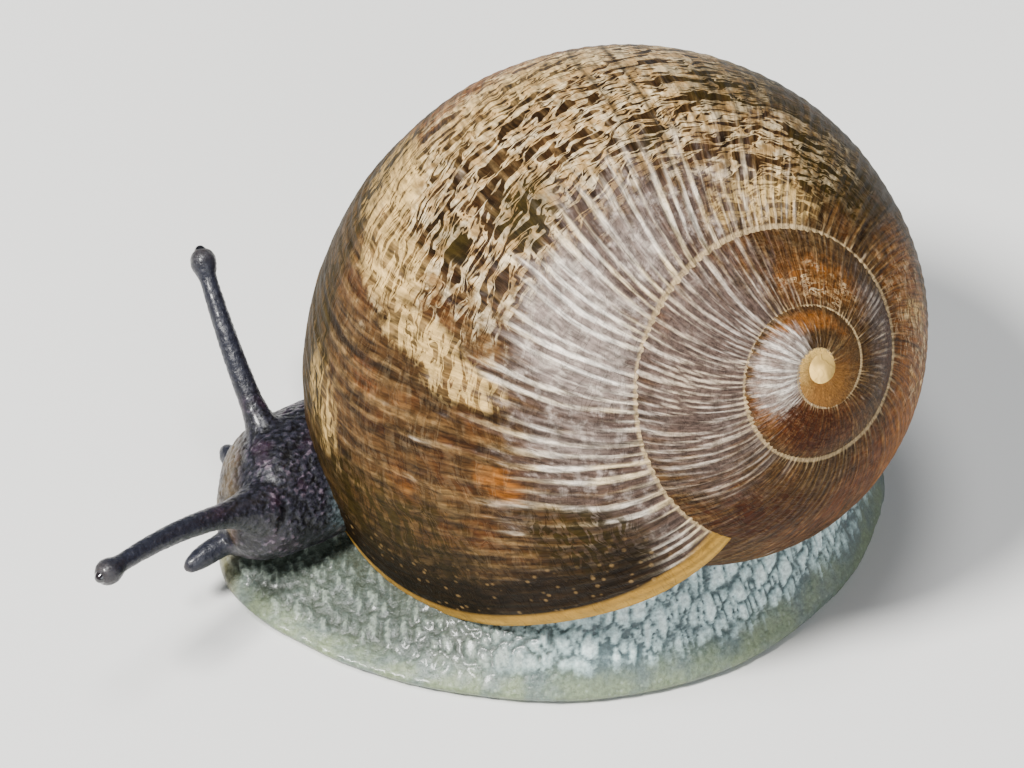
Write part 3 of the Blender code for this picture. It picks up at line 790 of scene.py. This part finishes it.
# %% [markdown]
# ## One skin for all the flesh
# A snail's foot, neck, head and feelers are one unbroken skin. Each is lofted
# from its own sections first, as they are in the solids. Boolean unions would leave
# sharp creases between them. A voxel remesh melts them into one surface instead, and
# smoothing rounds the joins. The flat sole is then thinned to a few large faces.

# %% Sections of the foot and the neck
FOOT = (      # x, y, half width, height of the back
    (-28.9, 3.8, 0.4, 0.9), (-28.1, 3.8, 3.6, 1.5), (-26.0, 3.9, 6.0, 1.8),
    (-23.0, 4.0, 7.8, 2.0), (-19.5, 3.9, 9.0, 2.3), (-15.0, 3.6, 9.7, 4.8),
    (-10.5, 3.7, 9.8, 9.0), (-5.6, 4.7, 8.8, 10.4), (-1.2, 6.9, 6.5, 8.6),
    (1.8, 9.8, 4.0, 4.8), (3.4, 12.6, 1.9, 2.2), (4.0, 14.0, 0.4, 0.9),
)
NECK = (      # x, y, height of the middle, half width, half height
    (-14.5, 8.6, 4.6, 4.4, 2.9), (-18.5, 8.0, 4.4, 4.5, 3.0), (-22.0, 6.9, 4.2, 4.1, 2.9),
    (-24.6, 4.9, 4.5, 4.0, 3.0), (-26.4, 3.5, 4.7, 3.9, 3.0), (-27.8, 3.3, 4.1, 3.3, 2.5),
    (-28.6, 3.3, 3.5, 2.3, 1.8), (-28.9, 3.3, 3.3, 0.4, 0.4),
)
NECK_TURN = 26.0
RIM_HEIGHT, SOLE_INSET = 0.55, 0.30
FOOT_LOOPS, NECK_LOOPS = 90, 60


def between(stations, share):
    """A smooth curve through rows of numbers, read at a share from 0 to 1."""
    rows = np.array(stations, dtype=float)
    place = share * (len(rows) - 1)
    first = min(int(place), len(rows) - 2)
    t = place - first
    before, after = max(first - 1, 0), min(first + 2, len(rows) - 1)
    p0, p1, p2, p3 = rows[before], rows[first], rows[first + 1], rows[after]
    bend = (2 * p0 - 5 * p1 + 4 * p2 - p3) * t * t + (3 * p1 - p0 - 3 * p2 + p3) * t ** 3
    return 0.5 * (2 * p1 + (p2 - p0) * t + bend)


def foot_side(share):
    """Middle of the foot at a share of its length, and the way to its side."""
    ahead, behind = between(FOOT, min(share + 0.01, 1.0)), between(FOOT, max(share - 0.01, 0.0))
    run = Vector((ahead[0] - behind[0], ahead[1] - behind[1], 0)).normalized()
    x, y, half, height = between(FOOT, share)
    return Vector((x, y, 0)), Vector((run.y, -run.x, 0)), half, height


def foot_loop(share):
    middle, side, half, height = foot_side(share)
    flat = half - min(SOLE_INSET, half * 0.5)
    rim = min(RIM_HEIGHT, height * 0.6)
    loop = [middle + side * flat * k / 5 for k in range(-5, 6)]
    for step in range(41):
        across = cos(pi * step / 40)
        rise = (1.0 - abs(across) ** 2.2) ** 1.25
        loop.append(middle + side * half * across + Vector((0, 0, rim + (height - rim) * rise)))
    return [(point,) for point in loop]


def neck_loop(share):
    x, y, z, half, rise = between(NECK, share)
    turn = radians(NECK_TURN) * (1.0 - share)
    side = Vector((-sin(turn), cos(turn), 0))
    return [(Vector((x, y, z)) + side * half * cos(a) + Vector((0, 0, rise * sin(a))),)
            for a in np.linspace(0, 2 * pi, 41)[:-1]]


def loft(mesh, loops):
    """Loft closed loops in a bmesh of their own, and add the result to mesh."""
    part = bmesh.new()
    extrude_loops(part, loops)
    data = bpy.data.meshes.new("loft")
    part.to_mesh(data)
    part.free()
    mesh.from_mesh(data)
    bpy.data.meshes.remove(data)


print("sections:", len(FOOT), "of the foot,", len(NECK), "of the neck")

# %% [markdown]
# The feelers are tapered tubes with a round bulb at the end. The upper pair
# carries the eyes; the lower pair is short and blunt and feels the ground.

# %% Sections of the feelers
ROOT_RADIUS, SHAFT_RADIUS, BULB_NECK_RADIUS, BULB_RADIUS = 1.45, 0.62, 0.46, 0.70
ROOT_END, BULB_START = 0.30, 0.86
LOWER_RADIUS = 0.62
FEELER_LOOPS = 80


def feeler_radius(share):
    if share < ROOT_END:
        t = share / ROOT_END
        return ROOT_RADIUS + (SHAFT_RADIUS - ROOT_RADIUS) * (1 - (1 - t) ** 2)
    if share < BULB_START:
        t = (share - ROOT_END) / (BULB_START - ROOT_END)
        return SHAFT_RADIUS + (BULB_NECK_RADIUS - SHAFT_RADIUS) * t
    t = (share - BULB_START) / (1 - BULB_START)
    swell = sin(min(t / 0.55, 1.0) * pi / 2) ** 2
    radius = BULB_NECK_RADIUS + (BULB_RADIUS - BULB_NECK_RADIUS) * swell
    if t > 0.55:
        radius *= max(0.0, 1 - ((t - 0.55) / 0.45) ** 2) ** 0.5
    return max(radius, 0.05)


def lower_radius(share):
    return max(LOWER_RADIUS * (1 - share ** 5) ** 0.5, 0.08)


def feeler_loops(points, radius_at):
    loops = []
    for step in range(FEELER_LOOPS + 1):
        share = step / FEELER_LOOPS
        place, run = bow(points, share)
        side = run.cross(Vector((0, 0, 1))).normalized()
        top, radius = side.cross(run), radius_at(share)
        loops.append([(place + side * radius * cos(a) + top * radius * sin(a),)
                      for a in np.linspace(0, 2 * pi, 25)[:-1]])
    return loops


# %% Melt them into one skin
VOXEL = 0.163
SOLE_DEPTH, FLAT_ENOUGH = 0.02, 0.01        # what counts as the flat sole, in mm and radians
COLLAR_SWELL = -1.25
COLLAR_TURNS = (-0.045, -0.03, -0.015, -0.004)


def melt(mesh):
    """Voxel remesh a bmesh of closed, overlapping parts into one surface."""
    data = bpy.data.meshes.new("flesh")
    mesh.to_mesh(data)
    item = into_scene("flesh", data)
    remesh = item.modifiers.new("melt", "REMESH")
    remesh.mode, remesh.voxel_size = "VOXEL", VOXEL
    graph = bpy.context.evaluated_depsgraph_get()
    graph.update()
    made = bpy.data.meshes.new_from_object(item.evaluated_get(graph))
    mesh.clear()
    mesh.from_mesh(made)
    bpy.data.objects.remove(item, do_unlink=True)


def rough_flesh():
    mesh = bmesh.new()
    loft(mesh, [foot_loop(step / FOOT_LOOPS) for step in range(FOOT_LOOPS + 1)])
    loft(mesh, [neck_loop(step / NECK_LOOPS) for step in range(NECK_LOOPS + 1)])
    for side in ("left", "right"):
        loft(mesh, feeler_loops(FEELERS[side], feeler_radius))
        loft(mesh, feeler_loops(LOWER_FEELERS[side], lower_radius))
    loft(mesh, [[entry[:1] for entry in shell_loop(turns, COLLAR_SWELL, ribs=False)]
                for turns in COLLAR_TURNS])
    melt(mesh)
    return mesh


def plane_sole(mesh):
    """The flat sole needs no small faces: they are dissolved into a few large ones."""
    flat = [v for v in mesh.verts if v.co.z < SOLE_DEPTH
            and all(e.other_vert(v).co.z < SOLE_DEPTH for e in v.link_edges)]
    bmesh.ops.dissolve_limit(mesh, angle_limit=FLAT_ENOUGH, verts=flat,
                             edges=list({e for v in flat for e in v.link_edges}))


def soften(mesh, rounds):
    for _ in range(rounds):
        bmesh.ops.smooth_vert(mesh, verts=mesh.verts, factor=0.5, use_axis_x=True,
                              use_axis_y=True, use_axis_z=True)


flesh = rough_flesh()
soften(flesh, 4)
plane_sole(flesh)
print("flesh faces:", len(flesh.faces))

# %% [markdown]
# ## Wrinkles and tubercles
# A snail's skin is cobbled with tubercles, and slime runs in the furrows between
# them. On the flank they stand in slanting rows, a little over half a millimetre apart,
# and fade out on the thin skirt round the sole. On the head they are a third smaller,
# and on the feelers they are mere grains. A bump in the finish would leave the outline
# bare, so they are real relief. Cells of a Voronoi pattern are the same kind of packing,
# so each vertex is raised by how far it is inside its cell. First every vertex needs
# to know where on the body it lies.

# %% Measure where each point of the skin lies
def gate(value, low, high):
    """Smooth step from 0 at low to 1 at high."""
    t = np.clip((np.asarray(value) - low) / (high - low), 0.0, 1.0)
    return t * t * (3 - 2 * t)


def near_line(points, line):
    """Distance of each point from a line of points, and its share along it."""
    far = np.linalg.norm(points[:, None, :] - line[None, :, :], axis=2)
    nearest = np.argmin(far, axis=1)
    return far[np.arange(len(points)), nearest], nearest / (len(line) - 1)


def places_on_body(points):
    """Where each point is: along and in from the foot's margin, and up the feelers."""
    sides = [foot_side(step / FOOT_LOOPS) for step in range(FOOT_LOOPS + 1)]
    middles, outward, halves, _ = map(np.array, zip(*sides))
    runs = np.cross((0, 0, 1.0), outward)
    offset = points[:, None, :2] - middles[None, :, :2]
    ahead = np.einsum("pkc,kc->pk", offset, runs[:, :2])
    reach = np.linalg.norm(offset, axis=2)
    row = np.argmin(np.abs(ahead) + 0.05 * reach, axis=1)
    each = np.arange(len(points))
    across = np.einsum("pc,pc->p", offset[each, row], outward[row, :2])
    steps = np.linalg.norm(np.diff(middles, axis=0), axis=1)
    along = np.concatenate([[0.0], np.cumsum(steps)])[row] + ahead[each, row]
    inward = halves[row] - np.abs(across)
    feeler = np.zeros(len(points))
    for lines, reach in ((FEELERS, 1.05), (LOWER_FEELERS, 0.95)):
        for line in lines.values():
            track = np.array([tuple(bow(line, share)[0]) for share in np.linspace(0, 1, 50)])
            distance, share = near_line(points, track)
            feeler = np.maximum(feeler, gate(distance, reach + 0.5, reach) * share)
    return along, inward, np.sign(across), feeler


skin_points = np.array([tuple(vertex.co) for vertex in flesh.verts])
along, inward, hand, up_feeler = places_on_body(skin_points)
x, y, z = skin_points.T
on_head = gate(-x, 20.5, 23.5) * gate(z, 1.9, 2.6)
on_neck = gate(-x, 12.0, 16.0) * gate(z, 2.6, 3.6) * gate(9.5 - np.abs(y - 7.0), 4.0, 6.0)
in_front = gate(-x, 8.0, 16.5) * gate(4.4 - z, 0.0, 0.8)
print("points of skin:", len(skin_points), "of them on feelers:", int(np.sum(up_feeler > 0.15)))

# %% Raise the tubercles
FLANK_RELIEF, HEAD_RELIEF, FEELER_RELIEF, SKIRT_RELIEF = 0.15, 0.09, 0.03, 0.03
ROWS, ROW_LEAN, ROWS_UP, ROWS_PER_HEIGHT = 1.75, 0.15, 0.62, 0.55     # all per mm
HEAD_GRAINS, FEELER_GRAINS = 2.5, 3.8       # per mm
FURROW, FINE_FURROW = 0.42, 0.45            # shares of a cell
FOLD_SPACING, FOLDS_ALONG = 1.5, 1.15       # of the skirt's folds
SINK = 0.6                                  # share of the relief that stays under the solid


def cobble(place, furrow):
    """How far a place is inside its cell: 0 in the furrow, 1 on the crown."""
    near, second = noise.voronoi(place)[0][:2]
    inside = min(1.0, (second - near) / furrow)
    return 1.0 - (1.0 - inside) ** 2


def raise_tubercles(mesh):
    mesh.normal_update()
    crowns = np.zeros(len(mesh.verts))
    for i, vertex in enumerate(mesh.verts):
        co = vertex.co
        slide = 0.7 * noise.noise(co * 0.25)
        row = along[i] * ROWS + ROW_LEAN * inward[i] + slide
        up = inward[i] * ROWS_UP + co.z * ROWS_PER_HEIGHT
        flank = cobble(Vector((row, up + slide, hand[i] * 9.0)), FURROW)
        grain = cobble(co * HEAD_GRAINS, FURROW)
        fine = cobble(co * FEELER_GRAINS, FINE_FURROW)
        folds = 0.5 + 0.5 * sin((along[i] * FOLDS_ALONG + slide) * 2 * pi / FOLD_SPACING)
        head = max(on_head[i], on_neck[i])
        feeler = min(1.0, up_feeler[i] * 3.0)
        flesh_part = gate(co.z, 0.35, 0.75) * gate(inward[i], 0.35, 1.3)
        flank *= (1 - head) * flesh_part
        grain *= head * (1 - feeler)
        fine *= feeler
        crowns[i] = flank + grain + fine
        height = (FLANK_RELIEF * flank + HEAD_RELIEF * grain + FEELER_RELIEF * fine
                  + SKIRT_RELIEF * folds * (1 - flesh_part) * (1 - head) * (co.z > 0.3))
        vertex.co = co + vertex.normal * (height - SINK * FLANK_RELIEF * flesh_part * (1 - head))
        vertex.co.z = max(vertex.co.z, 0.0)
    return crowns


crowns = raise_tubercles(flesh)
skin = as_piece("flesh_skin", flesh)
for name, numbers in {"crown": crowns, "inward": inward, "head": np.maximum(on_head, on_neck),
                      "feeler": up_feeler, "front": in_front}.items():
    keep_numbers(skin.data, name, numbers)
FLESH = ["mantle_collar", "foot_front", "foot_middle", "foot_tail", "neck", "head", "mouth_lobes"]
for side in FEELERS:
    FLESH += [f"eye_tentacle_{side}_{word}" for word in ("root", "shaft", "bulb")]
    FLESH.append(f"lower_tentacle_{side}")
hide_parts(*FLESH)
print("one skin stands for", len(FLESH), "solids, faces:", len(skin.data.polygons))

# %% [markdown]
# ## The skin's finish
# The skin is grey with a cold blue cast. It is painted paler on the crowns of the tubercles and
# darker in the furrows. This is partly its own tone and partly painted highlight and shade, and
# the highest crowns carry a painted bluish-white highlight. The head is nearly black with mauve
# beads that are partly a painted highlight, and tan at the lips. The margin of the foot is thin,
# paler and a little olive. Slime covers it all, so the gloss is a wet coat over a duller skin.

# %% Mix the skin
SLATE, MIST, CROWN_HIGHLIGHT = (0.070, 0.110, 0.116), (0.47, 0.63, 0.63), (0.78, 0.90, 0.88)
PITCH, STEEL = (0.0025, 0.0023, 0.0035), (0.015, 0.015, 0.024)
SKIRT, REED = (0.19, 0.235, 0.135), (0.15, 0.19, 0.16)
MOSS, SAND = (0.046, 0.056, 0.042), (0.30, 0.36, 0.28)
TAN, FAWN = (0.085, 0.056, 0.022), (0.17, 0.13, 0.060)
PLUM, MAUVE = (0.028, 0.012, 0.025), (0.15, 0.11, 0.14)
INK, PEARL = (0.010, 0.011, 0.019), (0.050, 0.044, 0.044)
WET_SKIN = {"Specular IOR Level": 0.35, "Coat Weight": 0.28, "Coat Roughness": 0.16,
            "Subsurface Weight": 0.2, "Subsurface Radius": (1.0, 0.75, 0.6),
            "Subsurface Scale": 0.7 * MM}
SKIN_BUMPS = 0.09 * MM


def skin_finish():
    kit = Finish("wet_skin")
    place = kit.place_in_mm()
    patchy, grains = kit.mottle(place, 0.55, 3.0), kit.mottle(place, 4.5, 3.0, 0.6)
    pores = kit.cells(place, 2.6)
    crown, head = kit.number("crown"), kit.number("head")
    inward, feeler, front = kit.number("inward"), kit.number("feeler"), kit.number("front")

    # Painted light: the flank is paler on the crowns of the tubercles and darker in the furrows.
    # This is partly the skin's own tone and partly painted highlight and shade, and the highest
    # crowns get a painted bluish-white highlight.
    lit = kit.times(grains, 0.5, crown)
    flank = kit.blend(kit.step(lit, 0.35, 1.10), SLATE, MIST)
    flank = kit.blend(kit.step(lit, 1.0, 1.35, 0.0, 0.65), flank, CROWN_HIGHLIGHT)
    dots = kit.step(pores, 0.26, 0.12)
    pale = kit.blend(kit.step(patchy, 0.4, 0.65), SKIRT, REED)
    pale = kit.blend(kit.times(dots, 0.55), pale, SAND)
    thin = kit.step(kit.times(patchy, 0.8, inward), 1.7, 0.6)
    flank = kit.blend(kit.times(thin, 0.85), flank, pale)
    ahead = kit.blend(kit.step(inward, 0.5, 1.9, 0.0, 0.92), pale, MOSS)
    ahead = kit.blend(kit.step(lit, 1.05, 1.35, 0.0, 0.50), ahead, SAND)
    foremost = kit.step(kit.add("SeparateXYZ", {0: place}).outputs["X"], -13.6, -14.6)
    ahead = kit.blend(kit.times(foremost, 0.6), ahead, FAWN)
    flank = kit.blend(kit.times(front, 0.95), flank, ahead)

    # Painted light on the head too: the crowns are lighter and the furrows darker, and the mauve
    # beads on the highest crowns are partly a painted highlight.
    dark = kit.blend(kit.step(lit, 0.4, 1.25), PITCH, STEEL)
    dark = kit.blend(kit.step(patchy, 0.52, 0.66, 0.0, 0.6), dark, PLUM)
    beads_and_highlights = kit.times(kit.step(lit, 1.05, 1.35), kit.step(patchy, 0.4, 0.6, 0.1, 0.7))
    dark = kit.blend(beads_and_highlights, dark, MAUVE)
    lips = kit.times(foremost, kit.step(feeler, 0.25, 0.05))
    dark = kit.blend(kit.times(lips, kit.step(patchy, 0.3, 0.6, 0.2, 0.8)), dark, TAN)
    shaft = kit.blend(kit.step(feeler, 0.15, 0.5), dark, INK)
    shaft = kit.blend(kit.step(feeler, 0.90, 0.98, 0.0, 0.6), shaft, PEARL)
    colour = kit.blend(head, flank, shaft)
    colour = kit.shade(colour, kit.step(grains, 0.3, 0.7, 0.75, 1.2))
    gloss = kit.step(grains, 0.3, 0.7, 0.32, 0.52)
    kit.surface({"Base Color": colour, "Roughness": gloss, **WET_SKIN})
    kit.relief(kit.times(pores, 0.6, grains), SKIN_BUMPS, 0.8)
    return kit.material


skin.data.materials.append(skin_finish())
print("nodes in the skin's finish:", len(skin.data.materials[0].node_tree.nodes))

# %% [markdown]
# ## The eyes
# A snail's eye is a black bead set into the very end of the feeler, under clear
# skin. A ball alone would look like a pin, so the front is drawn out into a low
# cornea, and the finish is black with a clear wet coat.

# %% Set the eyes
CORNEA_RISE, CORNEA_SHARE = 0.05, 0.6
JET, SEPIA = (0.004, 0.004, 0.006), (0.016, 0.012, 0.014)


def make_eye(side):
    mesh = bmesh.new()
    bmesh.ops.create_icosphere(mesh, subdivisions=5, radius=EYE_RADIUS - CORNEA_RISE)
    centre, (_, run) = eye_centre(side), bow(FEELERS[side], 1.0)
    for vertex in mesh.verts:
        facing = vertex.co.normalized().dot(run)
        rise = CORNEA_RISE * float(gate(facing, CORNEA_SHARE, 1.0))
        vertex.co = centre + vertex.co + run * rise
    eye = as_piece(f"eye_bead_{side}", mesh)
    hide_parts(f"eye_{side}")
    return eye


def eye_finish():
    kit = Finish("eye_black")
    place = kit.place_in_mm()
    haze = kit.mottle(place, 2.5, 2.0)
    kit.surface({"Base Color": kit.blend(kit.step(haze, 0.4, 0.7), JET, SEPIA),
                 "Roughness": kit.step(haze, 0.3, 0.7, 0.06, 0.14),
                 "Coat Weight": 1.0, "Coat Roughness": 0.03})
    return kit.material


eye_black = eye_finish()
for side in FEELERS:
    make_eye(side).data.materials.append(eye_black)
print("eyes:", len(FEELERS))
